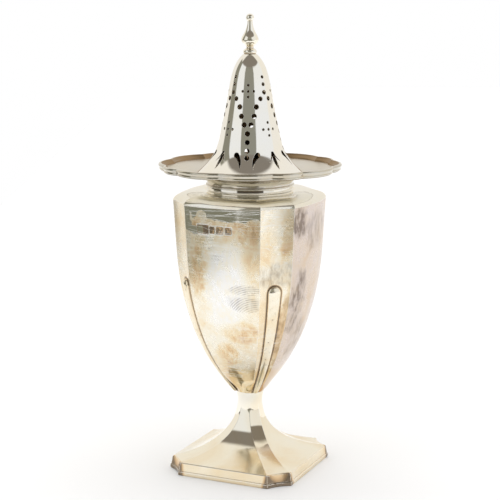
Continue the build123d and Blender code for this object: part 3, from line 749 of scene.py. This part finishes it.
def dress_caster():
    """Give every piece its silver."""
    straps = [f"strap_{corner}" for corner in ("front_right", "back_right", "back_left", "front_left")]
    vase_silver = silver("vase_silver", vase_recipe, edge_radius=0.0003, crevice=0.7, hollow=HOLLOW_FILM,
                         corner_reach=0.003, hairlines=HAIRLINE_LAYERS)
    dress(vase_silver, "vase_body")
    dress(silver("strap_silver", strap_recipe, crevice=0.9, corner_reach=0.002), *straps)
    dress(silver("shoulder_silver", shoulder_recipe, edge_radius=0.0002), "shoulder_plate")
    foot_silver = silver("foot_silver", foot_recipe, edge_radius=0.0003, crevice=0.1, hollow=HOLLOW_FILM)
    dress(foot_silver, "foot", "base_wire")
    dress(silver("neck_silver", neck_recipe), "neck_collar", "neck_bead")
    dress(silver("cove_silver", cove_recipe, crevice=0.4), "cover_cove")
    dress(silver("cone_silver", cone_recipe, edge_radius=0.00015, hollow=HOLLOW_FILM), "pierced_cone")
    dress(silver("finial_silver", finial_recipe, crevice=0.9), "finial_collar", "finial")
    dress(silver("brim_silver", brim_recipe, crevice=0.3), "brim_plate")
    dress(silver("border_silver", border_recipe, crevice=0.6, hollow=BORDER_HOLLOW_FILM), "brim_border")
    dress(silver("sleeve_silver", sleeve_recipe), "cover_bezel")


# ---------------------------------------------------------------------------------------------- studio

# Edges of the table top, seen from the camera: to its left and right, towards it and away from it
FLOOR_LEFT = -0.235
FLOOR_RIGHT = 1.5
FLOOR_FRONT = -0.34
FLOOR_BACK = 2.2
FLOOR_SCALE = 3.0
FLOOR_TONES = [(0.3, (0.85, 0.86, 0.885)), (0.7, (0.87, 0.88, 0.905))]
FLOOR_ROUGHNESS = 0.6

# The studio's brightness in each part
ROOM_FRONT = (0.270, 0.265, 0.225)
ROOM_UNDER = (0.068, 0.056, 0.044)
ROOM_LEFT = (0.260, 0.250, 0.200)
ROOM_DEPTHS = (0.205, 0.200, 0.145, 1.0)
CEILING = (0.230, 0.205, 0.175, 1.0)
BACKDROP = (0.89, 0.855, 0.79)
SOFT_BOX = (0.86, 0.87, 0.88)

# The studio all round at eye level, as (degrees from the camera's direction, colour from there on)
STUDIO_RIGHT = [(0, ROOM_FRONT), (24, SOFT_BOX), (94, BACKDROP)]
STUDIO_LEFT = [(0, ROOM_FRONT), (35, SOFT_BOX), (81, ROOM_LEFT), (114, BACKDROP)]
# The same for what shows just below the table's level
UNDER_RIGHT = [(0, ROOM_UNDER), (36, SOFT_BOX), (94, BACKDROP)]
UNDER_LEFT = [(0, ROOM_UNDER), (35, SOFT_BOX), (84, ROOM_UNDER), (126, BACKDROP)]
HALF_TURN = 180
SECTION_STEP = 0.006

# Where those levels meet, as the upward part of the direction, and where the room gives way to the backdrop
CEILING_EDGE = (0.66, 0.72)
UNDER_EDGE = (-0.030, -0.055)
DEPTHS_EDGE = (-0.212, -0.232)
BACKDROP_EDGE = (-0.06, 0.08)

SUN_STRENGTH = 2.0
SUN_SPREAD = math.radians(70)


def add_floor():
    """A plain pale table top."""
    mesh = bpy.data.meshes.new("table_top")
    corners = [
        (FLOOR_LEFT, FLOOR_FRONT), (FLOOR_RIGHT, FLOOR_FRONT),
        (FLOOR_RIGHT, FLOOR_BACK), (FLOOR_LEFT, FLOOR_BACK),
    ]
    mesh.from_pydata([(x, y, 0.0) for x, y in corners], [], [(0, 1, 2, 3)])
    floor = bpy.data.objects.new("table_top", mesh)
    floor.rotation_euler = (0, 0, CAMERA_TURN)
    bpy.context.scene.collection.objects.link(floor)
    material = bpy.data.materials.new("table_white")
    material.use_nodes = True
    build = Nodes(material.node_tree)
    shader = build.add("ShaderNodeBsdfPrincipled")
    place = build.add("ShaderNodeTexCoord").outputs["Object"]
    build.join(build.ramp(build.noise(place, FLOOR_SCALE), FLOOR_TONES), shader.inputs["Base Color"])
    shader.inputs["Roughness"].default_value = FLOOR_ROUGHNESS
    build.finish(shader)
    mesh.materials.append(material)


def studio_side(build, angle, sections):
    """Colour against the angle from the camera's direction, with narrow steps between the sections."""
    stops = [(0.0, sections[0][1])]
    for (_, before), (start, colour) in zip(sections, sections[1:]):
        stops.append((start / HALF_TURN - SECTION_STEP, before))
        stops.append((start / HALF_TURN + SECTION_STEP, colour))
    return build.ramp(build.math("DIVIDE", angle, math.pi), stops)


def studio_ring(build, angle, right_sections, left_sections):
    """Colour all round, from the signed angle from the camera's direction, right positive."""
    right = studio_side(build, build.larger(angle, 0.0), right_sections)
    left = studio_side(build, build.larger(build.times(angle, -1.0), 0.0), left_sections)
    return build.blend(build.math("GREATER_THAN", angle, 0.0), left, right)


def add_world():
    """A pale backdrop behind the caster, and a dark room with two soft boxes on the camera's side.

    The silver reflects these, and the camera sees plain white.
    """
    world = bpy.data.worlds.new("studio")
    bpy.context.scene.world = world
    world.use_nodes = True
    build = Nodes(world.node_tree)
    direction = build.add("ShaderNodeTexCoord").outputs["Generated"]
    across, away, up = axes(build, build.moved(direction, turn=(0, 0, -CAMERA_TURN)))
    angle = build.math("ARCTAN2", across, build.times(away, -1.0))
    level = studio_ring(build, angle, STUDIO_RIGHT, STUDIO_LEFT)
    under = studio_ring(build, angle, UNDER_RIGHT, UNDER_LEFT)
    behind = build.smooth(away, *BACKDROP_EDGE)
    overhead = build.blend(behind, CEILING, (*BACKDROP, 1.0))
    depths = build.blend(behind, ROOM_DEPTHS, (*BACKDROP, 1.0))
    studio = build.blend(build.smooth(up, *CEILING_EDGE), level, overhead)
    studio = build.blend(build.smooth(up, *UNDER_EDGE), studio, under)
    studio = build.blend(build.smooth(up, *DEPTHS_EDGE), studio, depths)

    light = build.add("ShaderNodeBackground")
    build.join(studio, light.inputs["Color"])
    seen = build.add("ShaderNodeBackground")
    seen.inputs["Color"].default_value = WHITE
    paths = build.add("ShaderNodeLightPath")
    choice = build.add("ShaderNodeMixShader")
    build.join(paths.outputs["Is Camera Ray"], choice.inputs[0])
    build.join(light.outputs[0], choice.inputs[1])
    build.join(seen.outputs[0], choice.inputs[2])
    build.finish(choice, "ShaderNodeOutputWorld")


def add_lights():
    """Even soft light from overhead that whitens the table. The silver doesn't mirror it."""
    data = bpy.data.lights.new("overhead", "SUN")
    data.energy = SUN_STRENGTH
    data.angle = SUN_SPREAD
    light = bpy.data.objects.new("overhead", data)
    light.visible_glossy = False
    bpy.context.scene.collection.objects.link(light)


def add_camera():
    data = bpy.data.cameras.new("camera")
    data.sensor_width = SENSOR_WIDTH
    data.lens = CAMERA_LENS
    data.clip_start = CAMERA_NEAREST
    camera = bpy.data.objects.new("camera", data)
    camera.location = (
        CAMERA_REACH * math.sin(CAMERA_TURN), -CAMERA_REACH * math.cos(CAMERA_TURN), CAMERA_HEIGHT)
    camera.rotation_euler = (math.pi / 2 - CAMERA_PITCH, 0, CAMERA_TURN)
    bpy.context.scene.collection.objects.link(camera)
    bpy.context.scene.camera = camera


dress_caster()
add_floor()
add_world()
add_lights()
add_camera()
bpy.context.scene.view_settings.view_transform = "Standard"
